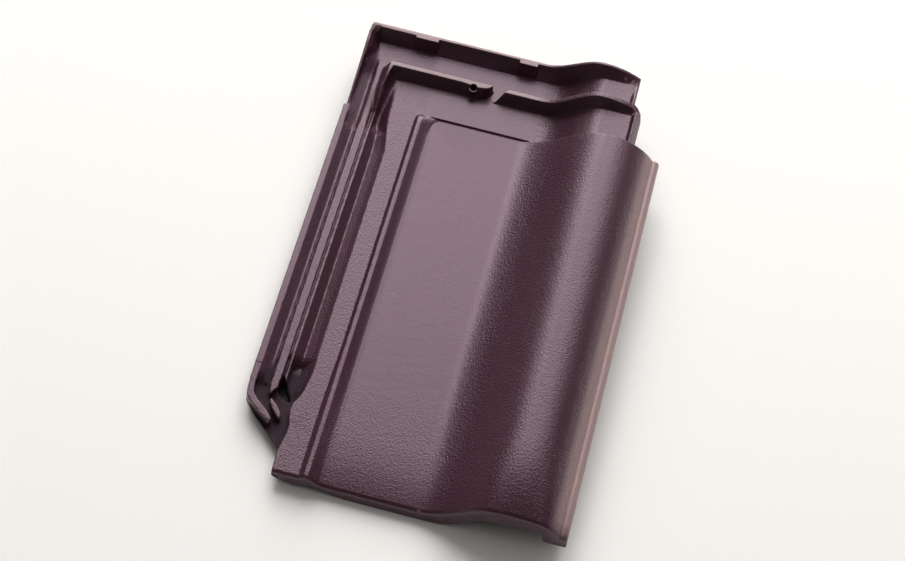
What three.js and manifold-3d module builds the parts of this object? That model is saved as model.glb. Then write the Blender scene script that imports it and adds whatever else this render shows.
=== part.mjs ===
// Interlocking clay roof tile, pressed and fired as one piece.
//
// Lengths are millimetres. While the tile is built, X runs across it from the outer edge of
// its side lock, Y runs up the slope from its front edge, and Z is the height above the face
// of its pan. At the end it is laid on the ground as it rests, on its foot rim and its nibs,
// and centred.
import * as THREE from "three";
import { mergeVertices } from "three/addons/utils/BufferGeometryUtils.js";
import Module from "manifold-3d";

const wasm = await Module();
wasm.setup();

// ---- overall ----
const WIDTH = 270;
const LENGTH = 430;
const BODY = 11; // thickness of the pan and of the roll
const FOOT_DEPTH = 15; // from the pan's face down to the underside of the foot rim
const LYING_ANGLE = 2.13; // degrees the pan slopes up to the head, on the nibs

// ---- side lock, left edge ----
const OUTER_RIB_WIDTH = 5.2;
const OUTER_RIB_TOP = 1;
const GROOVE_WIDTH = 12;
const GROOVE_FLOOR = -6;
const DRIP_RIDGE_OFFSET = 7.6; // from the outer rib to the middle of the small ridge
const DRIP_RIDGE_WIDTH = 2.2;
const DRIP_RIDGE_TOP = -3.6;
const FLAT_RIB_WIDTH = 6.2;
const FLAT_RIB_TOP = 0;
const NARROW_GROOVE_WIDTH = 2.8;
const NARROW_GROOVE_FLOOR = -3;
const THIN_RIB_WIDTH = 1.9;
const THIN_RIB_TOP = 1.4;
const CHANNEL_WIDTH = 18;
const CHANNEL_FLOOR = -7.5;
const CHANNEL_FLAT = 5.5; // flat part of the channel's floor
const CHANNEL_RAMP = 18; // from the step back to where the channel's floor starts to rise
const WALL_DRAFT = 1.2; // how far the steep walls of ribs and grooves lean
const LOCK_UNDERSIDE = -15.5;

// ---- strip, bead, pan and roll ----
const STRIP_WIDTH = 15.3;
const STRIP_LEVEL = 1.5;
const STRIP_WIDENING = 6.9; // its left edge moves out by this near the step
const BEAD_WALL = 2.8; // run of the bead's left wall
const BEAD_WIDTH = 3.2;
const BEAD_TOP = 4.6;
const BEAD_SLOPE = 9; // run of the slope from the bead down into the pan
const PAN_CORNER = 10; // radius of the pan's corner between the bead and the step
const ROLL_HEIGHT = 38.5;
const ROLL_RISE_RUN = 72; // from the pan up to the flat of the crest
const ROLL_LEAN = 6; // how far the rise is hollowed below an even wave
const CREST_FLAT = 3.5;
const ROLL_FLANK_RUN = 44; // from the crest to the right edge
const FLANK_RADIUS = 44;
const FLANK_ANGLE = 59; // degrees of the flank's arc
const HEM_TOP = 17.6; // small ledge along the right edge
const SKIRT_BOTTOM = 3;
const FRONT_ROUND = 2.6; // rounded lip along the front edge
const PAN_NOSE_DROP = 2.2; // how far the pan curves down to the front edge
const PAN_NOSE_RUN = 50;
const CREST_NOSE_DROP = 5;
const CREST_NOSE_RUN = 64;

// ---- head lock ----
const HEAD_LAP = 74; // from the step to the head edge
const HEAD_FLOOR = 1.5;
const HEAD_ROLL_START = 104.5; // from the right edge to where the head floor starts to rise
const HEAD_ROLL_RUN = 49;
const HEAD_ROLL_RISE = 30;
const CHANNEL_ROLL_RISE = 26;
const INNER_RIB_ROLL_RISE = 27.3;
const HEAD_RIB_ROLL_RISE = 21;
const INNER_RIB_OFFSET = 39.5; // from the head edge to the front of the inner rib's top
const INNER_RIB_TOP = 13.5;
const INNER_RIB_WIDTH = 4;
const INNER_RIB_SLOPE = 4.9; // run of its front wall
const HEAD_RIB_TOP = 15;
const HEAD_RIB_WIDTH = 3;
const HEAD_RIB_SLOPE = 7.2; // run of its wall down to the channel
const LAP_RIGHT_INSET = 23.7; // the lap under the next tile is narrower than the cover
const HEAD_RIGHT_INSET = 32;
const RIM_WIDTH = 1.4; // thin rim along the right side of the head
const RIM_WALL = 2.6; // run of its inner wall
const ARM_LEFT = 28.4; // the arm's left edge where it meets the inner rib
const ARM_START = 2.9; // height at which the arm starts
const LOCK_JOG = 7; // from the step back to where the lock's outer rib gets thin
const THIN_WALL_LEFT = 2.2;
const THIN_WALL_WIDTH = 2.2;

// ---- underside ----
const FOOT_RIM_WIDTH = 9;
const LAP_CLEARANCE = 3; // over the rim on the right side of the tile below
const COUNTER_RIB_AT = 46;
const COUNTER_RIB_WIDTH = 8;
const COUNTER_RIB_DEPTH = 3;
const COVER_RIB_INSET = 27; // rib under the roll that hangs into the next tile's side lock
const COVER_RIB_WIDTH = 6;
const COVER_RIB_BOTTOM = 4;
const NIB_WIDTH = 34;
const NIB_LENGTH = 15;
const NIB_FROM_HEAD = 10;
const NIB_CENTRES = [78, 152];

// ---- nail hole and drain ----
const NAIL_HOLE_RADIUS = 2.6;
const NAIL_HOLE_X = 102.2;
const NAIL_HOLE_FORWARD = 1.8; // from the inner rib's front edge
const COLLAR_RADIUS = 3.9; // raised ring around the nail hole
const COLLAR_TOP = 11;

const COLOUR = 0x5b3f47;
const ROLL_STEPS = 24;
const FLANK_STEPS = 14;
const HEAD_STEPS = 20;

// ---- places that follow from the sizes ----
const ridgeX = OUTER_RIB_WIDTH + DRIP_RIDGE_OFFSET;
const flatRibLeft = OUTER_RIB_WIDTH + GROOVE_WIDTH;
const narrowLeft = flatRibLeft + FLAT_RIB_WIDTH;
const thinRibLeft = narrowLeft + NARROW_GROOVE_WIDTH;
const channelLeft = thinRibLeft + THIN_RIB_WIDTH;
const stripLeft = channelLeft + CHANNEL_WIDTH;
const beadLeft = stripLeft + STRIP_WIDTH;
const beadRight = beadLeft + BEAD_WALL + BEAD_WIDTH;
const panLeft = beadRight + BEAD_SLOPE;
const crestX = WIDTH - ROLL_FLANK_RUN;
const rollStart = crestX - CREST_FLAT - ROLL_RISE_RUN;
const step = LENGTH - HEAD_LAP;
const lockEnd = step - LOCK_JOG;
const rampStart = step - CHANNEL_RAMP;
const innerRibFront = LENGTH - INNER_RIB_OFFSET;
const innerRibFoot = innerRibFront - INNER_RIB_SLOPE;
const innerRibBack = innerRibFront + INNER_RIB_WIDTH;
const lapRight = WIDTH - LAP_RIGHT_INSET;
const headRight = WIDTH - HEAD_RIGHT_INSET;
const headRollStart = WIDTH - HEAD_ROLL_START;
const headCrest = headRollStart + HEAD_ROLL_RUN;
const nailHoleY = innerRibFront - NAIL_HOLE_FORWARD;

// Cross-sections are taken here, beside the lower corner and along the side lock.
const noseStations = [FOOT_RIM_WIDTH + 3, 20, 27, 34, 42, 49, 56, 61, 65, 69];
const lockStations = [74, 80, 92, step - 50, step - 39, step - 28, rampStart, step - 12, lockEnd];

const lerp = THREE.MathUtils.lerp;
const radians = THREE.MathUtils.degToRad;

// 0 before a, 1 after b, straight in between.
function ramp(value, a, b) {
  return THREE.MathUtils.clamp((value - a) / (b - a), 0, 1);
}

// A half wave from 0 up to 1.
function wave(value, start, run) {
  return (1 - Math.cos(Math.PI * ramp(value, start, start + run))) / 2;
}

// The ground under the lying tile.
function bed(y) {
  return -FOOT_DEPTH - y * Math.tan(radians(LYING_ANGLE));
}

// ---- solids ----
function toSolid(geometry) {
  const bare = geometry.clone();
  bare.deleteAttribute("normal");
  bare.deleteAttribute("uv");
  const merged = mergeVertices(bare, 1e-4);
  return new wasm.Manifold(
    new wasm.Mesh({
      numProp: 3,
      vertProperties: new Float32Array(merged.attributes.position.array),
      triVerts: new Uint32Array(merged.index.array),
    }),
  );
}

// A closed solid through cross-sections {y, top, bottom}. Top and bottom list [x, z] points
// from left to right, as many in both and in every section.
function loft(sections) {
  const columns = sections[0].top.length;
  const count = 2 * columns;
  const rings = sections.map(({ y, top, bottom }) => {
    return [...top, ...bottom.toReversed()].map(([x, z]) => [x, y, z]);
  });
  const index = [];
  for (let ring = 0; ring + 1 < rings.length; ring++) {
    for (let k = 0; k < count; k++) {
      const a = ring * count + k;
      const b = ring * count + ((k + 1) % count);
      index.push(a, b, b + count, a, b + count, a + count);
    }
  }
  const last = (rings.length - 1) * count;
  for (let k = 0; k + 1 < columns; k++) {
    const under = count - 1 - k;
    index.push(k, under, under - 1, k, under - 1, k + 1);
    index.push(last + k, last + under - 1, last + under, last + k, last + k + 1, last + under - 1);
  }
  const geometry = new THREE.BufferGeometry();
  geometry.setAttribute("position", new THREE.Float32BufferAttribute(rings.flat(2), 3));
  geometry.setIndex(index);
  return toSolid(geometry);
}

// A plan outline of [x, y] points pulled up from z0 to z1.
function upright(points, z0, z1) {
  const shape = new THREE.Shape(points.map(([x, y]) => new THREE.Vector2(x, y)));
  const geometry = new THREE.ExtrudeGeometry(shape, { depth: z1 - z0, bevelEnabled: false });
  return toSolid(geometry.translate(0, 0, z0));
}

// A solid between two plan outlines of as many [x, y] points, the lower one listed first.
function tapered(lower, z0, upper, z1) {
  const count = lower.length;
  const index = [];
  for (let k = 0; k < count; k++) {
    const next = (k + 1) % count;
    index.push(k, next, next + count, k, next + count, k + count);
  }
  for (let k = 1; k + 1 < count; k++) index.push(0, k + 1, k, count, count + k, count + k + 1);
  const points = [...lower.map(([x, y]) => [x, y, z0]), ...upper.map(([x, y]) => [x, y, z1])];
  const geometry = new THREE.BufferGeometry();
  geometry.setAttribute("position", new THREE.Float32BufferAttribute(points.flat(), 3));
  geometry.setIndex(index);
  return toSolid(geometry);
}

// An upright round post.
function post(x, y, radius, z0, z1) {
  const geometry = new THREE.CylinderGeometry(radius, radius, z1 - z0, 32);
  geometry.rotateX(Math.PI / 2);
  return toSolid(geometry.translate(x, y, (z0 + z1) / 2));
}

// The line that lies a distance below a line of [x, z] points, square to it.
function below(line, distance) {
  return line.map(([x, z], i) => {
    const [ax, az] = line[Math.max(i - 1, 0)];
    const [bx, bz] = line[Math.min(i + 1, line.length - 1)];
    const length = Math.hypot(bx - ax, bz - az);
    return [x + ((bz - az) / length) * distance, z - ((bx - ax) / length) * distance];
  });
}

// ---- pan and roll ----
function riseLine() {
  const line = [];
  for (let i = 0; i <= ROLL_STEPS; i++) {
    const x = rollStart + (ROLL_RISE_RUN * i) / ROLL_STEPS;
    const share = wave(x, rollStart, ROLL_RISE_RUN);
    line.push([x, share * (ROLL_HEIGHT - ROLL_LEAN * (1 - share))]);
  }
  return line;
}

// The roll's right flank, from the crest on.
function flankLine() {
  const line = [];
  for (let i = 0; i <= FLANK_STEPS; i++) {
    const angle = radians((FLANK_ANGLE * i) / FLANK_STEPS);
    line.push([crestX + FLANK_RADIUS * Math.sin(angle), ROLL_HEIGHT - FLANK_RADIUS * (1 - Math.cos(angle))]);
  }
  return line;
}

// The hollow side of the flank, from the crest down to the skirt's bottom.
function flankUnder(depth) {
  const radius = FLANK_RADIUS - depth;
  const centreZ = ROLL_HEIGHT - FLANK_RADIUS;
  const sweep = Math.acos((SKIRT_BOTTOM - centreZ) / radius);
  const line = [];
  for (let i = 0; i <= FLANK_STEPS; i++) {
    const angle = (sweep * i) / FLANK_STEPS;
    line.push([crestX + radius * Math.sin(angle), centreZ + radius * Math.cos(angle)]);
  }
  return line;
}

// The strip's left edge beside the lower corner, as [x from the lock's strip edge, y].
const freeEdge = new THREE.SplineCurve([
  new THREE.Vector2(-7.2, 0),
  new THREE.Vector2(-7.4, 20),
  new THREE.Vector2(-5.1, 34),
  new THREE.Vector2(-5.6, 43),
  new THREE.Vector2(-8.4, 56.5),
  new THREE.Vector2(-5.4, 65.4),
  new THREE.Vector2(-2.2, 73.7),
  new THREE.Vector2(0, 92),
]).getPoints(120);

function stripEdge(y) {
  const next = freeEdge.findIndex((point) => point.y > y);
  if (next === 0) return stripLeft + freeEdge[0].x;
  if (next < 0) return stripLeft - STRIP_WIDENING * wave(y, step - 50, 44);
  const [a, b] = [freeEdge[next - 1], freeEdge[next]];
  return stripLeft + lerp(a.x, b.x, ramp(y, a.y, b.y));
}

// How far the top face has curved down towards the front edge, most of all over the crest.
function noseDrop(x, y) {
  if (x < panLeft) return 0;
  const onCrest = wave(x, crestX - 34, 30) * (1 - wave(x, crestX + 8, 20));
  const drop = lerp(PAN_NOSE_DROP, CREST_NOSE_DROP, onCrest);
  return drop * ramp(y, lerp(PAN_NOSE_RUN, CREST_NOSE_RUN, onCrest), 0) ** 2;
}

function coverTop(y, rounding) {
  return [
    [stripEdge(y), STRIP_LEVEL],
    [beadLeft, STRIP_LEVEL],
    [beadLeft + BEAD_WALL, STRIP_LEVEL],
    [panLeft, 0],
    [lerp(panLeft, rollStart, 0.5), 0],
    ...riseLine(),
    ...flankLine(),
    [WIDTH - 3.6, HEM_TOP],
    [WIDTH - 1, HEM_TOP - 1.4],
    [WIDTH, HEM_TOP - 4],
  ].map(([x, z]) => [x, z - rounding - noseDrop(x, y)]);
}

// Underside of the foot rim, above the ground. Under the roll it follows the head floor of the
// tile below, and a notch lets that tile's bead through.
function footUnder(x) {
  return HEAD_ROLL_RISE * wave(x, headRollStart, HEAD_ROLL_RUN) + LAP_CLEARANCE * wave(x, headCrest, 20);
}

function rimSection(y, rounding) {
  const floor = bed(y);
  const flankX = flankLine().map((_, i) => lerp(crestX, lapRight + 2, i / (FLANK_STEPS - 1)));
  const bottom = [
    [stripEdge(y), floor + 9.6],
    [stripEdge(y) + 5.5, floor + 5.7],
    [beadLeft - 3, floor + 3],
    [beadLeft + 5, floor + 7.2],
    [panLeft + 20, floor],
    ...riseLine().map(([x]) => [x, floor + footUnder(x)]),
    ...flankX.slice(0, -1).map((x) => [x, floor + footUnder(x)]),
    [lapRight + 6, SKIRT_BOTTOM],
    [WIDTH - 6, SKIRT_BOTTOM],
    [WIDTH - 3, SKIRT_BOTTOM],
    [WIDTH, SKIRT_BOTTOM],
  ];
  return { y, top: coverTop(y, rounding), bottom };
}

function bodySection(y) {
  const bottom = [
    [stripEdge(y), -BODY],
    [stripEdge(y) + 9, -BODY],
    [beadLeft, -BODY],
    [beadLeft + 4, -BODY],
    [panLeft + 4, -BODY],
    ...below(riseLine(), BODY),
    ...flankUnder(BODY),
    [WIDTH - 6, SKIRT_BOTTOM],
    [WIDTH - 3, SKIRT_BOTTOM],
    [WIDTH, SKIRT_BOTTOM],
  ];
  return { y, top: coverTop(y, 0), bottom };
}

function cover() {
  return loft([
    rimSection(0, FRONT_ROUND),
    rimSection(FRONT_ROUND * 0.3, FRONT_ROUND * 0.3),
    rimSection(FRONT_ROUND, 0),
    rimSection(FOOT_RIM_WIDTH, 0),
    ...[...noseStations, ...lockStations, step].map(bodySection),
  ]);
}

// Thin raised bead between the strip and the pan. It follows the rounded front edge, and at the
// head end it slopes down to the head floor while its foot curves round the pan's corner.
function bead() {
  const at = (y, share, { lower = 0, spread = 0 } = {}) => {
    const past = Math.max(0, y - step + PAN_CORNER);
    const reach = PAN_CORNER - Math.sqrt(PAN_CORNER ** 2 - past ** 2);
    const crown = lerp(STRIP_LEVEL, BEAD_TOP, share) - lower;
    const foot = -lower - noseDrop(panLeft, y);
    const top = [
      [beadLeft - spread, STRIP_LEVEL - lower],
      [beadLeft + BEAD_WALL, crown],
      [beadRight, crown],
      [beadRight + BEAD_SLOPE * 0.5 + reach * 0.7, lerp(foot, crown, 0.47)],
      [panLeft + reach, foot],
    ];
    return { y, top, bottom: top.map(([x]) => [x, -BODY / 2]) };
  };
  return loft([
    at(0, 1, { lower: FRONT_ROUND, spread: 1.4 }),
    at(FRONT_ROUND * 0.3, 1, { lower: FRONT_ROUND * 0.3, spread: 1.4 }),
    ...[FRONT_ROUND, FOOT_RIM_WIDTH, ...noseStations].map((y) => at(y, 1, { spread: 1.4 })),
    at(120, 1),
    at(step - 10, 1),
    at(step - 7, 0.9),
    at(step - 4, 0.65),
    at(step - 2, 0.4),
    at(step - 0.8, 0.2),
    at(step, 0.05),
  ]);
}

// ---- side lock ----
// Where the slope up to the strip starts on the wide channel's floor.
function channelFoot(y) {
  const share = (stripEdge(y) - channelLeft) / CHANNEL_WIDTH;
  return channelLeft + (2 * WALL_DRAFT + CHANNEL_FLAT) * share;
}

function channelFloor(y) {
  return lerp(CHANNEL_FLOOR, HEAD_FLOOR, ramp(y, rampStart, innerRibFoot));
}

function sideLock() {
  const ribs = [
    [0, OUTER_RIB_TOP],
    [OUTER_RIB_WIDTH, OUTER_RIB_TOP],
    [OUTER_RIB_WIDTH + WALL_DRAFT, GROOVE_FLOOR],
    [ridgeX - DRIP_RIDGE_WIDTH / 2 - 0.6, GROOVE_FLOOR + 0.4],
    [ridgeX - DRIP_RIDGE_WIDTH / 2, DRIP_RIDGE_TOP],
    [ridgeX + DRIP_RIDGE_WIDTH / 2, DRIP_RIDGE_TOP],
    [ridgeX + DRIP_RIDGE_WIDTH / 2 + 0.6, GROOVE_FLOOR + 0.4],
    [flatRibLeft - WALL_DRAFT / 2, GROOVE_FLOOR + 0.4],
    [flatRibLeft, FLAT_RIB_TOP],
    [narrowLeft, FLAT_RIB_TOP],
    [narrowLeft + 0.5, NARROW_GROOVE_FLOOR],
    [thinRibLeft - 0.6, NARROW_GROOVE_FLOOR],
    [thinRibLeft, THIN_RIB_TOP],
    [channelLeft, THIN_RIB_TOP],
  ];
  const at = (y) => {
    const top = [
      ...ribs,
      [channelLeft + WALL_DRAFT, channelFloor(y)],
      [channelFoot(y), channelFloor(y)],
      [stripEdge(y), STRIP_LEVEL],
      [stripEdge(y) + 3, STRIP_LEVEL],
    ];
    return { y, top, bottom: top.map(([x]) => [x, LOCK_UNDERSIDE]) };
  };
  return loft(lockStations.map(at));
}

// The lock's lower corner: the outer rib turns in towards the strip above a thin lower rim,
// and the channels empty over it. The plan outlines start at the lock's outer edge.
// The thin lower rim's outer edge, as [y, x].
const cornerEdge = [[24, 37.4], [33.2, 26.8], [40.7, 18.2], [47.5, 10.5], [54, 4.5], [58, 1.6],
  [64, 0.5], [75, 0]];
const cornerRib = [[0.3, 74.5], [0.6, 66.8], [1.6, 59.7], [3.7, 56.6], [9.2, 51.8], [16.5, 46.3],
  [25.5, 40.3], [25.6, 44.5], [20.1, 50.5], [15.9, 53.8], [11.7, 57.1], [8, 60.6], [6.4, 63.8],
  [5.5, 69.9], [5.2, 74.5]];
const island = [[20.3, 60], [23.5, 53.9], [27.8, 48.8], [31.8, 45.4], [31.8, 50], [30.2, 53.1],
  [26.1, 57.4], [21.4, 61.6]];
const flatRibEnd = [[17.2, 74.5], [17.9, 68], [18.9, 65], [23, 72], [23.4, 74.5]];
const grooveEnd = [[5, 74.5], [5, 62], [12, 55], [22, 49], [27, 46], [24, 54], [19, 62], [18, 74.5]];
const drain = [[24.6, 85], [22.9, 77], [23.5, 72.4], [25.9, 69.4], [29.8, 66.9], [36, 64.8],
  [33.7, 69], [29.8, 75.2], [26.8, 81]];

// The corner's floor inside the lower rim. Below the rim it is cut back.
function cornerFloor() {
  const at = ([y, x]) => {
    const back = Math.min(11, 46 - x) * ramp(y, 75, 60);
    const top = [
      [x, CHANNEL_FLOOR + 1.4],
      [x + 1.6, CHANNEL_FLOOR + 1.4],
      [x + 2.8, CHANNEL_FLOOR],
      [48, CHANNEL_FLOOR],
    ];
    const bottom = [
      [x + 0.05 * back, CHANNEL_FLOOR - 1.6],
      [x + 0.5 * back, -BODY],
      [x + back, LOCK_UNDERSIDE],
      [48, LOCK_UNDERSIDE],
    ];
    return { y, top, bottom };
  };
  return loft(cornerEdge.map(at));
}

// The slope between the corner's floor and the strip, down to nothing towards the front.
function channelTail() {
  const at = (y, foot) => {
    const top = [[foot, CHANNEL_FLOOR], [stripEdge(y), STRIP_LEVEL], [stripEdge(y) + 3, STRIP_LEVEL]];
    return { y, top, bottom: top.map(([x]) => [x, -BODY]) };
  };
  return loft([
    at(61, stripEdge(61) - 0.3),
    at(65, lerp(stripEdge(65), channelFoot(65), 0.4)),
    at(69, lerp(stripEdge(69), channelFoot(69), 0.7)),
    at(74, channelFoot(74)),
  ]);
}

function lowerCorner() {
  const low = CHANNEL_FLOOR - 1;
  return [
    cornerFloor(),
    channelTail(),
    upright(cornerRib, low, OUTER_RIB_TOP),
    upright(island, low, FLAT_RIB_TOP),
    upright(flatRibEnd, low, FLAT_RIB_TOP),
    upright(grooveEnd, low, GROOVE_FLOOR),
  ];
}

// ---- head lock ----
const headFloorZ = (x) => HEAD_FLOOR + HEAD_ROLL_RISE * wave(x, headRollStart, HEAD_ROLL_RUN);
const headChannelZ = (x) => HEAD_FLOOR + CHANNEL_ROLL_RISE * wave(x, headRollStart + 1, HEAD_ROLL_RUN - 4);

// A rib's top line: flat over the pan, up over the roll, and falling a little to its end.
function ribZ(x, flat, start, rise, fall) {
  const past = Math.max(0, (x - start - HEAD_ROLL_RUN) / (headRight - start - HEAD_ROLL_RUN));
  return flat + rise * wave(x, start, HEAD_ROLL_RUN) - fall * past * past;
}

const innerRibZ = (x) => ribZ(x, INNER_RIB_TOP, headRollStart - 4, INNER_RIB_ROLL_RISE, 6);
const headRibZ = (x) => ribZ(x, HEAD_RIB_TOP, headRollStart - 9, HEAD_RIB_ROLL_RISE, 10);

// The lock's ribs where they run up into the head: the outer rib is thin and grows to the height
// of the head rib, the grooves fade out, and the thin rib becomes an arm of the inner rib.
function headLockLine(y, armTop) {
  const up = ramp(y, lockEnd, LENGTH);
  const soon = ramp(y, lockEnd, step + 14);
  const late = ramp(y, step + 26, LENGTH - 22);
  const left = THIN_WALL_LEFT + 2.4 * ramp(y, LENGTH - 5, LENGTH);
  const wallTop = lerp(OUTER_RIB_TOP, HEAD_RIB_TOP, up);
  const foot = lerp(GROOVE_FLOOR + 0.4, HEAD_FLOOR, late);
  const ridge = ridgeX + 1.2 * late;
  const half = (DRIP_RIDGE_WIDTH / 2) * (1 - 0.5 * late);
  const ridgeTop = lerp(DRIP_RIDGE_TOP, HEAD_FLOOR, late);
  const flatLeft = flatRibLeft - 1.4 * late;
  const flatTop = lerp(FLAT_RIB_TOP, HEAD_FLOOR, soon);
  const narrow = lerp(NARROW_GROOVE_FLOOR, HEAD_FLOOR, soon);
  const armFoot = narrowLeft - 1.4 * soon;
  const armLeft = lerp(thinRibLeft, ARM_LEFT, ramp(y, step + 14, innerRibFoot));
  return [
    [left, wallTop],
    [left + THIN_WALL_WIDTH, wallTop],
    [OUTER_RIB_WIDTH + WALL_DRAFT + late, lerp(GROOVE_FLOOR, lerp(wallTop, HEAD_FLOOR, 0.25), late)],
    [ridge - half - 0.6, foot],
    [ridge - half, ridgeTop],
    [ridge + half, ridgeTop],
    [ridge + half + 0.4, foot],
    [flatLeft - WALL_DRAFT / 2, foot],
    [flatLeft, flatTop],
    [armFoot, flatTop],
    [armFoot + 0.5, narrow],
    [armLeft - 0.6, lerp(narrow, armTop, 0.85 * soon)],
    [armLeft, armTop],
    [armLeft + THIN_RIB_WIDTH, armTop],
  ];
}

function headUnder(x, floorAt) {
  const slope = (floorAt(x + 1) - floorAt(x - 1)) / 2;
  return floorAt(x) - BODY * Math.hypot(1, slope);
}

// One cross-section of the head. `joined` ones have the arm running into the rib, and `flush`
// ones run level from edge to edge, as the head rib does.
function headSection(y, zAt, options = {}) {
  const { right = headRight, rimTop = zAt(right), rimRun = 1, rimFall = 1, drop = 0 } = options;
  const { armTop = HEAD_FLOOR, joined = false, flush = false } = options;
  const floor = joined ? armTop : channelFloor(y);
  const settled = joined ? 1 : ramp(y, lockEnd, step + 26);
  const floorLeft = stripEdge(y) - 0.06 * Math.min(30, Math.max(0, y - step));
  const rimFoot = right - rimRun - RIM_WIDTH - RIM_WALL;
  const rise = [];
  for (let i = 0; i <= HEAD_STEPS; i++) rise.push(lerp(headRollStart - 9, headCrest, i / HEAD_STEPS));
  const over = [0.25, 0.5, 0.75, 1].map((share) => lerp(headCrest, rimFoot, share));
  const line = [
    ...headLockLine(y, armTop),
    [
      lerp(channelLeft + WALL_DRAFT, lerp(channelLeft, floorLeft, 0.4), settled),
      lerp(floor, lerp(armTop, floor, 0.5), settled),
    ],
    [
      lerp(channelFoot(y), lerp(channelLeft, floorLeft, 0.7), settled),
      lerp(floor, lerp(armTop, floor, 0.88), settled),
    ],
    [floorLeft, zAt(0)],
    [beadLeft, zAt(0)],
    [panLeft, zAt(0) - drop],
    ...[...rise, ...over].map((x) => [x, zAt(x) - drop]),
    [right - rimRun - RIM_WIDTH, rimTop - drop],
    [right - rimRun, rimTop - drop],
    [right, rimTop - drop - rimFall],
  ];
  const top = flush ? line.map(([x]) => [x, zAt(x)]) : line;
  const floorAt = y < innerRibBack ? headFloorZ : headChannelZ;
  const bottom = top.map(([x]) => [x, x < stripLeft ? LOCK_UNDERSIDE : headUnder(x, floorAt)]);
  return { y, top, bottom };
}

function headLock() {
  const armAt = (y) => lerp(ARM_START, INNER_RIB_TOP, ramp(y, lockEnd, innerRibFront - 3));
  const rimTop = innerRibZ(headRight);
  const lapEnd = { right: lapRight, rimTop, rimRun: 4.6, rimFall: 8.5 };
  const lap = (y, drop = 0) => headSection(y, headFloorZ, { ...lapEnd, drop, armTop: armAt(y) });
  const inner = (y, right) => {
    return headSection(y, innerRibZ, { right, rimRun: 2.5, rimFall: 1.5, armTop: INNER_RIB_TOP, joined: true });
  };
  const channel = (y, end) => headSection(y, headChannelZ, { rimTop: end });
  const headInner = LENGTH - HEAD_RIB_WIDTH;
  const headEnd = headRibZ(headRight);
  return loft([
    lap(lockEnd, 6),
    lap(step - 0.6, 2.5),
    lap(step + 0.2),
    lap(step + 14),
    lap(step + 26),
    lap(innerRibFoot),
    inner(innerRibFront, lapRight - 1.5),
    inner(innerRibBack, lapRight - 4.8),
    channel(innerRibBack + 2.2, rimTop - 1),
    channel(LENGTH - 22, lerp(rimTop, headEnd, 0.6)),
    channel(headInner - HEAD_RIB_SLOPE, headEnd + 1),
    headSection(headInner, headRibZ, { flush: true }),
    headSection(LENGTH - 1, headRibZ, { flush: true }),
    headSection(LENGTH, (x) => headRibZ(x) - 0.8, { flush: true }),
  ]);
}

// Some stretches of the head rib have a wider top.
function headRibPad(x0, x1, width) {
  const at = (y, z) => ({ y, top: [[x0, z], [x1, z]], bottom: [[x0, HEAD_FLOOR - 2], [x1, HEAD_FLOOR - 2]] });
  const foot = LENGTH - HEAD_RIB_WIDTH - HEAD_RIB_SLOPE;
  return loft([at(foot, HEAD_FLOOR), at(LENGTH - width, HEAD_RIB_TOP), at(LENGTH - 1.2, HEAD_RIB_TOP)]);
}

// ---- nail hole, its boss, and the gap through the inner rib ----
// The rib bulges forward around the nail hole and has a round end behind it, as
// [x from the hole, y of the foot and y of the top from the rib's front edge].
const bossOutline = [[-11.2, -4.9, 0], [-6.2, -5.2, -0.5], [-1.4, -6.1, -1.3], [3.8, -6.3, -1.5],
  [8.8, -4.8, -1], [12.7, -2.3, -0.1], [15.2, 1.3, 1.7], [16.6, 6.2, 4], [-11.2, 6.2, 4]];

function nailBoss() {
  const foot = bossOutline.map(([x, y]) => [NAIL_HOLE_X + x, innerRibFront + y]);
  const top = bossOutline.map(([x, , y]) => [NAIL_HOLE_X + x - (x > 10 ? 0.6 : 0), innerRibFront + y]);
  return tapered(foot, HEAD_FLOOR, top, INNER_RIB_TOP).add(tapered(foot, HEAD_FLOOR - 2, foot, HEAD_FLOOR));
}

function collar() {
  return post(NAIL_HOLE_X, nailHoleY, COLLAR_RADIUS, HEAD_FLOOR - 2, COLLAR_TOP);
}

function nailHole() {
  return post(NAIL_HOLE_X, nailHoleY, NAIL_HOLE_RADIUS, bed(LENGTH) - 1, HEAD_RIB_TOP);
}

// The gap beside it, in the same measures. The rib goes on behind it with a slanting end.
const gapOutline = [[8, -9], [17, -9], [19.4, -4.6], [27.8, 1], [33, 9], [8, 9]];

function slantingGap() {
  const points = gapOutline.map(([x, y]) => [NAIL_HOLE_X + x, innerRibFront + y]);
  return upright(points, HEAD_FLOOR, HEAD_RIB_TOP);
}

// ---- underside ----
function counterRib() {
  const at = (y, depth) => {
    const top = [[panLeft, -BODY / 2], ...below(riseLine(), BODY / 2)];
    const bottom = [[panLeft, -BODY - depth], ...below(riseLine(), BODY + depth)];
    return { y, top, bottom };
  };
  return loft([
    at(COUNTER_RIB_AT - 1.5, 0.1),
    at(COUNTER_RIB_AT, COUNTER_RIB_DEPTH),
    at(COUNTER_RIB_AT + COUNTER_RIB_WIDTH, COUNTER_RIB_DEPTH),
    at(COUNTER_RIB_AT + COUNTER_RIB_WIDTH + 1.5, 0.1),
  ]);
}

function coverRib() {
  const right = WIDTH - COVER_RIB_INSET;
  const left = right - COVER_RIB_WIDTH;
  const roof = ROLL_HEIGHT - FLANK_RADIUS + Math.sqrt(FLANK_RADIUS ** 2 - (right - crestX) ** 2) - BODY / 2;
  const at = (y, z) => ({ y, top: [[left, roof], [right, roof]], bottom: [[left + 0.8, z], [right - 0.8, z]] });
  return loft([at(FOOT_RIM_WIDTH, roof - 2), at(FOOT_RIM_WIDTH + 24, COVER_RIB_BOTTOM), at(step - 4, COVER_RIB_BOTTOM)]);
}

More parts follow.
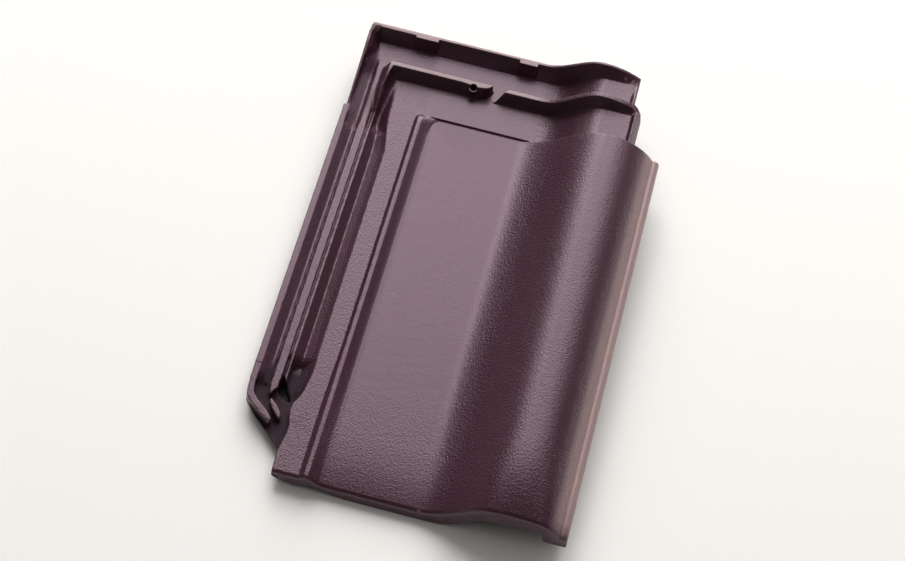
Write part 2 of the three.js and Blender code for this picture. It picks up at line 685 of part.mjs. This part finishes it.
function nib(centre) {
  const head = LENGTH - NIB_FROM_HEAD;
  const half = NIB_WIDTH / 2;
  const top = [[centre - half - 2, HEAD_FLOOR - BODY / 2], [centre + half + 2, HEAD_FLOOR - BODY / 2]];
  const at = (y, z) => ({ y, top, bottom: [[centre - half, z], [centre + half, z]] });
  return loft([at(head - NIB_LENGTH, bed(head - NIB_LENGTH)), at(head - 4, bed(head - 4)), at(head, bed(head) + 9)]);
}

// ---- the tile ----
function tileSolid() {
  const grounds = [
    bead(),
    sideLock(),
    ...lowerCorner(),
    headLock(),
    headRibPad(12, 42.6, 4.2),
    headRibPad(42.5, 62.5, 6.2),
    headRibPad(134, 150, 6.2),
    counterRib(),
    coverRib(),
    ...NIB_CENTRES.map(nib),
  ];
  const joined = grounds.reduce((sum, piece) => sum.add(piece), cover());
  const opened = joined.subtract(upright(drain, LOCK_UNDERSIDE - 1, THIN_RIB_TOP + 1));
  return opened.subtract(slantingGap()).add(nailBoss()).add(collar()).subtract(nailHole());
}

// Tilts the tile onto the ground, which its foot rim and its nibs touch.
function laidDown(solid) {
  const mesh = solid.getMesh();
  const geometry = new THREE.BufferGeometry();
  geometry.setAttribute("position", new THREE.BufferAttribute(mesh.vertProperties, 3));
  geometry.setIndex(new THREE.BufferAttribute(mesh.triVerts, 1));
  geometry.translate(0, 0, FOOT_DEPTH);
  geometry.rotateX(radians(LYING_ANGLE));
  geometry.computeBoundingBox();
  const { min, max } = geometry.boundingBox;
  geometry.translate(-(min.x + max.x) / 2, -(min.y + max.y) / 2, -min.z);
  geometry.computeVertexNormals();
  return geometry;
}

const clay = new THREE.MeshStandardMaterial({ color: COLOUR, roughness: 0.5, metalness: 0 });
const tile = new THREE.Mesh(laidDown(tileSolid()), clay);
tile.name = "clay_roof_tile";

const group = new THREE.Group();
group.add(tile);
export default group;
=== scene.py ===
"""Looks for the interlocking clay roof tile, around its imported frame."""
import math

import bmesh
import bpy
import numpy as np
from mathutils import Euler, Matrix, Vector

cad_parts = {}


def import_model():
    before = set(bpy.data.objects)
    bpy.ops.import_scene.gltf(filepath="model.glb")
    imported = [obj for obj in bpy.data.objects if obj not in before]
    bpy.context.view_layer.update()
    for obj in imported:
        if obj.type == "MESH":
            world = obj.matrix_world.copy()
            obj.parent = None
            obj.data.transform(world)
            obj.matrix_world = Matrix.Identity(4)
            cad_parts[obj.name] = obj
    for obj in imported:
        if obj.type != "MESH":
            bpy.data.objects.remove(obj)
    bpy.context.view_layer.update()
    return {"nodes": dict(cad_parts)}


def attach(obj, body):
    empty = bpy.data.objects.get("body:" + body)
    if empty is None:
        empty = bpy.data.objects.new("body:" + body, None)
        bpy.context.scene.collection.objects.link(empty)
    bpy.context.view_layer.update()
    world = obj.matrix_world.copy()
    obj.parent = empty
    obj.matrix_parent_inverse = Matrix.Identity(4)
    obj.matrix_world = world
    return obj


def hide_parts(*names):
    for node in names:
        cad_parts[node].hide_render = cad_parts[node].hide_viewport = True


# ---- sizes that the shape corrections share with the part, in metres ----
TILT = math.radians(2.13)  # the lying tile slopes up to its head
FOOT_DEPTH = 0.015
WIDTH = 0.270
CENTRE_Y = 0.2140077538
PAN_LEFT = 0.0764
CREST_X = 0.226
ROLL_START = 0.1505
RISE_RUN = 0.072
ROLL_HEIGHT = 0.0385
ROLL_LEAN = 0.006
RISE_STEPS = 24
FLANK_RADIUS = 0.044
FLANK_ANGLE = math.radians(59)
FLANK_STEPS = 14
PAN_NOSE = (0.0022, 0.050)  # drop to the front edge, and its run
CREST_NOSE = (0.005, 0.064)
NOSE_STATIONS = (0.0026, 0.009, 0.012, 0.020, 0.027, 0.034, 0.042, 0.049, 0.056, 0.061, 0.065)
STEP_Y = 0.356
HEAD_ROLL_START = 0.1655
HEAD_ROLL_RUN = 0.049
HEAD_STEPS = 20
HEAD_RIM_SHIFT = -0.009
HEAD_FLOOR = (0.030, 0.0, 0.0)  # height of its wave, and what its start and its run differ by
HEAD_INNER = (0.0273, -0.004, 0.0)
HEAD_CHANNEL = (0.026, 0.001, -0.004)
HEAD_RIM = (0.021, HEAD_RIM_SHIFT, 0.0)
HEAD_LINES = ((0.3856, HEAD_FLOOR), (0.3905, HEAD_INNER), (0.3945, HEAD_INNER),
              (0.3967, HEAD_CHANNEL), (0.4198, HEAD_CHANNEL), (0.427, HEAD_RIM))
CHANNEL_LEFT = 0.0281
STRIP_LEFT = 0.0461
STRIP_WIDENING = 0.0069

# ---- sizes of the soft forms that this script adds, in metres ----
PRESSED_PAN = (0.0012, 0.028)  # further drop to the front edge, and its run
PRESSED_CREST = (0.0032, 0.045)
FULLER_RISE = 0.0006
BEAD_HOLLOW = (0.00042, 0.0033)  # depth and half width at the bead's foot
UNDERSIDE_Z = -0.009
RELAX_SHARE = 0.6
RELAX_ROUNDS = 30
VOXEL = 0.00055
TRIANGLES = 190000

# ---- the side lock's soft sections: x from its left edge and z, in millimetres ----
GROOVE = [(4.6, 1.0), (5.5, 0.8), (12.5, -3.5), (14.4, -3.6), (14.9, -4.8), (15.7, -4.6)]
RIBS = [(16.9, -0.2), (17.1, 0.05), (23.4, 0.05), (23.6, -1.2), (25.2, -1.2), (25.5, 1.3), (25.8, 1.45)]
CHANNEL = [(28.1, 1.45), (28.5, 0.6), (34.6, -3.9), (35.2, -3.9), (41.5, -1.1), (45.6, 1.35), (47.0, 1.5)]
FILL_BOTTOM = -9.0
FILL_LOWEST = -8.8
SUNK = 11  # a section lowered by this lies below the lock's floor

# ---- the stretches over which these sections rise and sink: start and run, in metres ----
LOCK_START = (0.085, 0.020)
LOCK_END = (STEP_Y - 0.030, 0.024)
DRAIN_START = (0.060, 0.024)
DRAIN_END = (0.105, 0.015)
STRIP_WIDENS = (STEP_Y - 0.050, 0.044)

# ---- colours ----
PLUM = (0.043, 0.0095, 0.021, 1)
WARM_PLUM = (0.047, 0.011, 0.024, 1)
GRAIN = (0.10, 0.055, 0.070, 1)
SPECK = (0.32, 0.26, 0.27, 1)
# painted highlight for the head's rib tops and the sharpest edges
PAINTED_HIGHLIGHT_CREAM = (0.40, 0.30, 0.26, 1)
WHITE_SPOT = (0.6, 0.55, 0.55, 1)
BROWN_SMEAR = (0.10, 0.035, 0.025, 1)
# black for the mould's seam, and for painted shade in a crease
BLACK_SEAM_AND_CREASE_SHADE = (0.004, 0.002, 0.003, 1)
SCRATCHED = (0.30, 0.22, 0.24, 1)
# painted sheen along the roll's right flank
FLANK_PAINTED_SHEEN = (0.42, 0.295, 0.27, 1)
# painted shade for the drain corner's floor
DRAIN_PAINTED_SHADE = (0.010, 0.003, 0.007, 1)
SPECULAR_TINT = (1.0, 0.77, 0.89, 1)
# painted shade for the floor where it is shut in under the tile
FLOOR_PAINTED_SHADE = (0.02, 0.017, 0.019, 1)
FLOOR_OPEN = (0.96, 0.93, 0.90, 1)
FLOOR_GLOW = (1.0, 0.98, 0.96, 1)

# ---- marks and painted shade on the lying tile, in metres ----
WHITE_SPOTS = ((0.0571, 0.1803, 0.047), (0.0559, 0.1786, 0.0458))
SMEAR_AT = (-0.115, 0.1216, 0.0285)
# painted shade in the crease at the foot of the head's inner rib
SHADED_CREASE_AT = (-0.099, 0.1697, 0.0308)
SEAM_Y = -0.1254
SCRATCH_START = (0.0461, 0.1118, 0)
SCRATCH_RUN = (-0.0022, -0.0212, 0)


# ---- small helpers ----
def apply_modifiers(obj):
    depsgraph = bpy.context.evaluated_depsgraph_get()
    mesh = bpy.data.meshes.new_from_object(obj.evaluated_get(depsgraph))
    obj.modifiers.clear()
    obj.data = mesh
    return mesh


def read_points(mesh):
    points = np.empty(len(mesh.vertices) * 3, np.float64)
    mesh.vertices.foreach_get("co", points)
    return points.reshape(-1, 3)


def write_points(mesh, points):
    mesh.vertices.foreach_set("co", points.ravel())
    mesh.update()


def wave(value, start, run):
    """A smooth step from 0 to 1."""
    return (1 - np.cos(np.pi * np.clip((value - start) / run, 0, 1))) / 2


def to_tile(points):
    """Points of the lying tile in its own axes: from its left edge, its front edge and its pan."""
    x, y, z = (points + (WIDTH / 2, CENTRE_Y, 0)).T
    c, s = math.cos(TILT), math.sin(TILT)
    return np.column_stack([x, y * c + z * s, z * c - y * s - FOOT_DEPTH])


def to_lying(points):
    x, y, z = (points + (0, 0, FOOT_DEPTH)).T
    c, s = math.cos(TILT), math.sin(TILT)
    return np.column_stack([x, y * c - z * s, y * s + z * c]) - (WIDTH / 2, CENTRE_Y, 0)


# ---- the tile's smooth waves ----
def rounded_off(x, height, knots):
    """How far a curve lies above the straight facets between its stations."""
    x = np.clip(x, knots[0], knots[-1])
    return height(x) - np.interp(x, knots, height(knots))


def cover_height(x):
    """The section's height over the pan, from the pan over the crest to the flank."""
    share = wave(x, ROLL_START, RISE_RUN)
    arc = ROLL_HEIGHT - FLANK_RADIUS + np.sqrt(FLANK_RADIUS**2 - np.maximum(x - CREST_X, 0) ** 2)
    return np.where(x < CREST_X, share * (ROLL_HEIGHT - ROLL_LEAN * (1 - share)), arc)


def crest_share(x):
    """1 on the roll's crest, 0 on the pan and far down the flank."""
    return wave(x, CREST_X - 0.034, 0.030) * (1 - wave(x, CREST_X + 0.008, 0.020))


def bend(x, y, pan, crest):
    """Drop towards the front edge, from a drop and a run on the pan and on the crest."""
    share = crest_share(x)
    drop = pan[0] + (crest[0] - pan[0]) * share
    run = pan[1] + (crest[1] - pan[1]) * share
    return drop * np.clip(1 - y / run, 0, 1) ** 2


def nose_drop(x, y):
    return np.where(x > PAN_LEFT, bend(x, y, PAN_NOSE, CREST_NOSE), 0)


def nose_rounding(x, y):
    """How far the facets of the curved-down front lie above its true curve."""
    stations = np.array(NOSE_STATIONS)
    y = np.clip(y, stations[0], stations[-1])
    k = np.clip(np.searchsorted(stations, y) - 1, 0, len(stations) - 2)
    share = (y - stations[k]) / (stations[k + 1] - stations[k])
    facet = (1 - share) * nose_drop(x, stations[k]) + share * nose_drop(x, stations[k + 1])
    return nose_drop(x, y) - facet


def pressed_nose(x, y):
    """The last few centimetres bend down a little more than the plain curve."""
    return bend(x, y, PRESSED_PAN, PRESSED_CREST) * wave(x, PAN_LEFT - 0.004, 0.010)


def head_rounding(x, y):
    """How far the head's waves lie above their facets, line by line up to the head edge."""
    start, run = HEAD_ROLL_START, HEAD_ROLL_RUN
    knots = np.linspace(start + HEAD_RIM_SHIFT, start + run, HEAD_STEPS + 1)

    def facets(height, later, longer):
        return rounded_off(x, lambda v: height * wave(v, start + later, run + longer), knots)

    lines = [(line, facets(*section)) for line, section in HEAD_LINES]
    total = np.where(y < lines[0][0], lines[0][1], lines[-1][1])
    for (y0, a), (y1, b) in zip(lines, lines[1:]):
        share = np.clip((y - y0) / (y1 - y0), 0, 1)
        total = np.where((y >= y0) & (y < y1), (1 - share) * a + share * b, total)
    return total


# ---- the side lock's soft fillets ----
def lock_section(y):
    """The whole lock, between the drain corner and the head. It sinks away at both ends."""
    sunk = SUNK * (1 - wave(y, *LOCK_START) * (1 - wave(y, *LOCK_END)))
    left = CHANNEL_LEFT * 1000
    share = 1 - STRIP_WIDENING * wave(y, *STRIP_WIDENS) / (STRIP_LEFT - CHANNEL_LEFT)
    wide = [(0.15, 1.05)] + GROOVE + RIBS + CHANNEL
    return [(x if x < left else left + (x - left) * share, z - sunk) for x, z in wide]


def drain_section(y):
    """The groove's run into the drain corner."""
    sunk = SUNK * (1 - wave(y, *DRAIN_START)) + SUNK * wave(y, *DRAIN_END)
    return [(x, z - sunk) for x, z in GROOVE]


def head_section(y):
    """The groove's run up into the head."""
    sunk = 1.2 * (1 - wave(y, *LOCK_END))
    late = wave(y, 0.382, 0.026)
    flat = 0.1 + 1.3 * wave(y, 0.349, 0.021)
    line = [(3.0, 1.0 + 5 * late), (4.6, 1.0 + 5 * late), (15.0, -3.9 + 5.2 * late),
            (16.6, flat - 1.0), (17.2, flat), (22.6, flat)]
    return [(x, z - sunk) for x, z in line]


def add_fill(body, ys, section_at):
    """Closed body below the sections, down into the side lock's floor."""
    rows = []
    for y in ys:
        row = [(x / 1000, y, max(z, FILL_LOWEST) / 1000) for x, z in section_at(y)]
        row += [(row[-1][0], y, FILL_BOTTOM / 1000), (row[0][0], y, FILL_BOTTOM / 1000)]
        rows.append([body.verts.new(point) for point in to_lying(np.array(row))])
    for a, b in zip(rows, rows[1:]):
        for k in range(len(a)):
            m = (k + 1) % len(a)
            body.faces.new((a[k], b[k], b[m], a[m]))
    body.faces.new(rows[0])
    body.faces.new(rows[-1][::-1])


def add_lock_fillets(mesh):
    body = bmesh.new()
    body.from_mesh(mesh)
    lock_ys = np.concatenate([np.linspace(0.085, 0.105, 9), np.linspace(0.306, 0.350, 23)])
    add_fill(body, lock_ys, lock_section)
    add_fill(body, np.linspace(0.060, 0.118, 24), drain_section)
    add_fill(body, np.linspace(0.326, 0.412, 36), head_section)
    body.to_mesh(mesh)
    body.free()


# ---- the dressed tile ----
def relax(mesh, points, weight):
    """Even out the places with a weight, where the pressed clay runs soft."""
    edges = np.empty(len(mesh.edges) * 2, np.int32)
    mesh.edges.foreach_get("vertices", edges)
    edges = edges.reshape(-1, 2)
    edges = edges[(weight[edges] > 0).any(axis=1)]
    used, index = np.unique(edges, return_inverse=True)
    a, b = index.reshape(-1, 2).T
    a, b = np.concatenate([a, b]), np.concatenate([b, a])
    count = np.bincount(a, minlength=len(used))
    near, share = points[used], weight[used, None] * RELAX_SHARE
    for _ in range(RELAX_ROUNDS):
        sums = [np.bincount(a, near[b, k], len(used)) for k in range(3)]
        near += (np.column_stack(sums) / count[:, None] - near) * share
    points[used] = near


def soft_weight(x, y, z):
    """Where the lock's floor runs soft: in the drain corner, and on its way into the head."""
    across = wave(x, 0.003, 0.004) * (1 - wave(x, 0.042, 0.005))
    above = wave(z, -0.0098, 0.001)
    drain = across * wave(y, 0.028, 0.008) * (1 - wave(y, 0.086, 0.008)) * (1 - wave(z, -0.0022, 0.0014))
    upper = across * wave(y, 0.330, 0.010) * (1 - wave(y, 0.402, 0.010)) * (1 - wave(z, 0.004, 0.002))
    return np.maximum(drain, upper) * above


def smooth_tile(source):
    """A copy of the CAD tile with the soft edges and the smooth waves of pressed clay."""
    tile = bpy.data.objects.new("glazed_clay_tile", source.data.copy())
    bpy.context.scene.collection.objects.link(tile)
    add_lock_fillets(tile.data)
    remesh = tile.modifiers.new("remesh", "REMESH")
    remesh.mode = "VOXEL"
    remesh.voxel_size = VOXEL
    soften = tile.modifiers.new("soften", "SMOOTH")
    soften.factor = 0.5
    soften.iterations = 2
    mesh = apply_modifiers(tile)

    points = to_tile(read_points(mesh))
    x, y = points[:, 0], points[:, 1]
    rise_knots = np.linspace(ROLL_START, ROLL_START + RISE_RUN, RISE_STEPS + 1)
    flank_knots = CREST_X + FLANK_RADIUS * np.sin(np.linspace(0, FLANK_ANGLE, FLANK_STEPS + 1))
    cover = rounded_off(x, cover_height, np.append(rise_knots, flank_knots)) - nose_rounding(x, y)
    cover += FULLER_RISE * wave(x, 0.189, 0.014) * (1 - wave(x, 0.203, 0.014))
    points[:, 2] += np.where(y < STEP_Y, cover, head_rounding(x, y))
    depth, reach = BEAD_HOLLOW
    hollow = depth * np.clip(1 - np.abs(x - PAN_LEFT - 0.0003) / reach, 0, 1) ** 2
    hollow *= 1 - wave(y, 0.334, 0.012)
    points[:, 2] += np.where(points[:, 2] > UNDERSIDE_Z, hollow - pressed_nose(x, y), 0)
    relax(mesh, points, soft_weight(x, y, points[:, 2]))
    write_points(mesh, to_lying(points))

    thin = tile.modifiers.new("thin", "DECIMATE")
    thin.ratio = TRIANGLES / (2 * len(mesh.polygons))
    mesh = apply_modifiers(tile)
    mesh.polygons.foreach_set("use_smooth", np.ones(len(mesh.polygons), bool))
    mesh.materials.clear()
    return tile


# ---- materials ----
class Nodes:
    """Short names for the nodes of one material."""

    def __init__(self, name):
        self.material = bpy.data.materials.new(name)
        self.material.use_nodes = True
        self.tree = self.material.node_tree
        self.shader = self.tree.nodes["Principled BSDF"]

    def add(self, kind, inputs=None, **settings):
        node = self.tree.nodes.new(kind)
        for key, value in settings.items():
            setattr(node, key, value)
        for key, value in (inputs or {}).items():
            self.set(node.inputs[key], value)
        return node

    def set(self, socket, value):
        if isinstance(value, bpy.types.NodeSocket):
            self.tree.links.new(value, socket)
        else:
            socket.default_value = value

    def noise(self, place, scale, detail=2.0, roughness=0.5):
        inputs = {"Vector": place, "Scale": scale, "Detail": detail, "Roughness": roughness}
        return self.add("ShaderNodeTexNoise", inputs).outputs["Fac"]

    def ramp(self, value, low, high, out_low=0.0, out_high=1.0):
        inputs = {"Value": value, "From Min": low, "From Max": high, "To Min": out_low, "To Max": out_high}
        return self.add("ShaderNodeMapRange", inputs, clamp=True).outputs["Result"]

    def math(self, operation, a, b=0.0):
        return self.add("ShaderNodeMath", {0: a, 1: b}, operation=operation).outputs["Value"]

    def product(self, *factors):
        total = factors[0]
        for factor in factors[1:]:
            total = self.math("MULTIPLY", total, factor)
        return total

    def largest(self, *values):
        total = values[0]
        for value in values[1:]:
            total = self.math("MAXIMUM", total, value)
        return total

    def vector(self, operation, a, b, output="Value"):
        return self.add("ShaderNodeVectorMath", {0: a, 1: b}, operation=operation).outputs[output]

    def split(self, vector):
        return self.add("ShaderNodeSeparateXYZ", {"Vector": vector}).outputs

    def spot(self, place, centre, inner, outer, strength=1.0):
        return self.ramp(self.vector("DISTANCE", place, centre), inner, outer, strength, 0.0)

    def mix(self, factor, a, b):
        node = self.add("ShaderNodeMix", {0: factor, 6: a, 7: b}, data_type="RGBA")
        return node.outputs[2]

    def bump(self, height, strength, distance, normal=None):
        inputs = {"Height": height, "Strength": strength, "Distance": distance}
        if normal is not None:
            inputs["Normal"] = normal
        return self.add("ShaderNodeBump", inputs).outputs["Normal"]


def painted_highlight(n, axes, level):
    """Painted highlight: the head's upward-facing rib tops and the sharpest edges are lightened towards
    pale cream.
    """
    surface = n.add("ShaderNodeNewGeometry").outputs
    upward = n.split(surface["Normal"])["Z"]
    ribs = n.product(n.ramp(axes["Y"], 0.164, 0.166), n.ramp(level, 0.0344, 0.0350),
                     n.ramp(axes["X"], 0.030, 0.020, 0.0, 0.5), n.ramp(upward, 0.75, 0.9))
    return n.largest(ribs, n.ramp(surface["Pointiness"], 0.52, 0.58, 0.0, 0.45))


def scratch(n, place, level):
    """A faint scratch on the rise of the roll."""
    run = Vector(SCRATCH_RUN).normalized()
    away = n.vector("SUBTRACT", place, SCRATCH_START, "Vector")
    along = n.vector("DOT_PRODUCT", away, run)
    aside = n.math("ABSOLUTE", n.vector("DOT_PRODUCT", away, (-run.y, run.x, 0)))
    return n.product(n.ramp(aside, 0.00015, 0.0004, 0.3, 0.0), n.ramp(along, 0.0, 0.003),
                     n.ramp(along, 0.018, 0.021, 1.0, 0.0), n.ramp(level, 0.015, 0.020))


def skin(n, place, axes, grain):
    """The orange peel, coarser towards the front edge, along the lock and on the roll."""
    front = n.ramp(axes["Y"], -0.10, -0.17, 0.0, 1.2)
    strip = n.ramp(axes["X"], -0.066, -0.072, 0.0, 0.9)
    from_rise = n.math("ABSOLUTE", n.math("SUBTRACT", axes["X"], 0.05))
    rise = n.ramp(from_rise, 0.035, 0.015, 0.0, 1.5)
    roll = n.ramp(axes["X"], 0.055, 0.075, 0.0, 0.85)
    flank = n.ramp(axes["X"], 0.100, 0.115, 0.0, 1.3)
    relief = n.largest(front, strip, rise, roll, flank, 0.3)
    peel = n.product(n.noise(place, 680.0, 2.0, 0.55), relief)
    normal = n.bump(n.noise(place, 160.0, 1.0), 0.12, 0.0006)
    normal = n.bump(peel, 0.95, 0.00036, normal)
    return n.bump(n.product(grain, relief), 0.9, 0.00012, normal)


def engobe():
    """Satin plum-brown engobe over pressed clay."""
    n = Nodes("satin_engobe")
    place = n.add("ShaderNodeTexCoord").outputs["Object"]
    axes = n.split(place)
    level = n.vector("DOT_PRODUCT", place, (0, -math.tan(TILT), 1))  # height over the pan's slope

    # The plain coat, with its grain and its pale specks.
    cloud = n.noise(place, 14.0, 3.0, 0.55)
    grain = n.noise(place, 1100.0, 2.0, 0.6)
    colour = n.mix(n.ramp(cloud, 0.3, 0.7), PLUM, WARM_PLUM)
    colour = n.mix(n.ramp(grain, 0.4, 0.75, 0.0, 0.4), colour, GRAIN)
    cell = n.add("ShaderNodeTexVoronoi", {"Vector": place, "Scale": 210.0}).outputs["Distance"]
    patches = n.ramp(n.noise(place, 60.0, 1.0), 0.60, 0.64)
    colour = n.mix(n.product(n.ramp(cell, 0.05, 0.09, 1.0, 0.0), patches, 0.8), colour, SPECK)

    # Painted highlights on rib tops and edges, painted shade in one crease, and single marks.
    colour = n.mix(painted_highlight(n, axes, level), colour, PAINTED_HIGHLIGHT_CREAM)
    for spot in WHITE_SPOTS:
        colour = n.mix(n.spot(place, spot, 0.0003, 0.0008), colour, WHITE_SPOT)
    colour = n.mix(n.spot(place, SMEAR_AT, 0.001, 0.009, 0.5), colour, BROWN_SMEAR)
    # Painted shade: a black crease at the foot of the head's inner rib.
    colour = n.mix(n.spot(place, SHADED_CREASE_AT, 0.0005, 0.0035, 0.8), colour, BLACK_SEAM_AND_CREASE_SHADE)
    colour = n.mix(scratch(n, place, level), colour, SCRATCHED)

    # Painted sheen: along the right flank of the roll the colour is lightened towards a pale warm brown,
    # weaker at the front edge.
    thin = n.product(n.ramp(axes["X"], 0.1195, 0.1275, 0.0, 0.8), n.ramp(level, 0.030, 0.032),
                     n.ramp(axes["Y"], 0.1425, 0.1415), n.ramp(axes["Y"], -0.213, -0.203, 0.25, 1.0))
    colour = n.mix(thin, colour, FLANK_PAINTED_SHEEN)

    # The mould's seam crosses the outer rib.
    from_seam = n.math("ABSOLUTE", n.math("SUBTRACT", axes["Y"], SEAM_Y))
    seam = n.product(n.ramp(from_seam, 0.0003, 0.0007, 0.8, 0.0),
                     n.ramp(axes["X"], -0.1292, -0.1288, 1.0, 0.0))
    colour = n.mix(seam, colour, BLACK_SEAM_AND_CREASE_SHADE)

    # Painted shade: the drain corner's floor is darkened in its colour; it is also made rougher and
    # duller.
    corner = n.product(n.ramp(axes["X"], -0.131, -0.128), n.ramp(axes["X"], -0.089, -0.091),
                       n.ramp(axes["Y"], -0.108, -0.126), n.ramp(level, 0.0222, 0.0205), 0.85)
    colour = n.mix(corner, colour, DRAIN_PAINTED_SHADE)

    edge = n.ramp(axes["X"], 0.119, 0.125, 0.0, 0.45)
    rough = n.largest(n.ramp(grain, 0.3, 0.7, 0.27, 0.34), corner, n.product(seam, 1.2), edge)
    n.set(n.shader.inputs["Base Color"], colour)
    n.set(n.shader.inputs["Roughness"], rough)
    n.shader.inputs["IOR"].default_value = 1.65
    n.shader.inputs["Specular Tint"].default_value = SPECULAR_TINT
    n.set(n.shader.inputs["Normal"], skin(n, place, axes, grain))
    return n.material


def studio_floor():
    """Pale floor with painted shade: its colour and its glow darken by ambient occlusion where it is shut
    in under the tile. Its glow is seen, but lights nothing.
    """
    n = Nodes("pale_floor")
    open_air = n.add("ShaderNodeAmbientOcclusion", {"Distance": 0.12}, samples=8).outputs["AO"]
    n.set(n.shader.inputs["Base Color"], n.mix(n.ramp(open_air, 0.10, 0.45), FLOOR_PAINTED_SHADE, FLOOR_OPEN))
    rays = n.add("ShaderNodeLightPath").outputs
    seen = n.largest(rays["Is Camera Ray"], rays["Is Glossy Ray"], rays["Is Transmission Ray"])
    n.shader.inputs["Emission Color"].default_value = FLOOR_GLOW
    n.set(n.shader.inputs["Emission Strength"], n.product(seen, n.ramp(open_air, 0.3, 0.8, 0.0, 0.12)))
    n.shader.inputs["Roughness"].default_value = 1.0
    n.shader.inputs["Specular IOR Level"].default_value = 0.0
    return n.material


# ---- stage, light and camera ----
def stage():
    bpy.ops.mesh.primitive_plane_add(size=12, location=(0, 0, 0))
    floor = bpy.context.object
    floor.name = "floor"
    floor.data.materials.append(studio_floor())


def world():
    sky = bpy.data.worlds.new("studio")
    bpy.context.scene.world = sky
    sky.use_nodes = True
    back = sky.node_tree.nodes["Background"]
    back.inputs["Color"].default_value = (1.0, 0.97, 0.95, 1)
    back.inputs["Strength"].default_value = 0.12


def softbox(name, azimuth, elevation, distance, width, height, energy, colour=(1, 1, 1)):
    """An area light seen from the tile at an azimuth (from +X towards +Y) and an elevation."""
    az, el = math.radians(azimuth), math.radians(elevation)
    offset = Vector((math.cos(el) * math.cos(az), math.cos(el) * math.sin(az), math.sin(el)))
    data = bpy.data.lights.new(name, "AREA")
    data.shape = "RECTANGLE"
    data.size = width
    data.size_y = height
    data.energy = energy
    data.color = colour
    lamp = bpy.data.objects.new(name, data)
    lamp.location = Vector((0, 0, 0.03)) + offset * distance
    lamp.rotation_euler = offset.to_track_quat("Z", "Y").to_euler()
    bpy.context.scene.collection.objects.link(lamp)


def lights():
    softbox("back_softbox", 97, 40, 4.0, 3.1, 4.6, 172)
    softbox("back_low", 97, 28, 4.0, 3.1, 1.8, 30)
    softbox("left_wing", 124, 38, 4.0, 1.3, 3.2, 28)
    softbox("right_wing", 57, 46, 4.0, 0.9, 3.2, 14)
    softbox("right_strip", 34, 2, 2.5, 1.6, 0.15, 6, colour=(1, 0.95, 0.88))


def camera():
    data = bpy.data.cameras.new("camera")
    data.sensor_width = 36
    data.lens = 87.1813
    eye = bpy.data.objects.new("camera", data)
    eye.location = (0.105898, -0.983048, 1.496785)
    eye.rotation_euler = Euler([math.radians(a) for a in (33.30002, -4.896646, 13.865499)], "XYZ")
    bpy.context.scene.collection.objects.link(eye)
    bpy.context.scene.camera = eye


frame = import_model()
bpy.context.scene.view_settings.view_transform = "Standard"

tile = smooth_tile(frame["nodes"]["clay_roof_tile"])
tile.data.materials.append(engobe())
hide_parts("clay_roof_tile")
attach(tile, "root")

stage()
world()
lights()
camera()
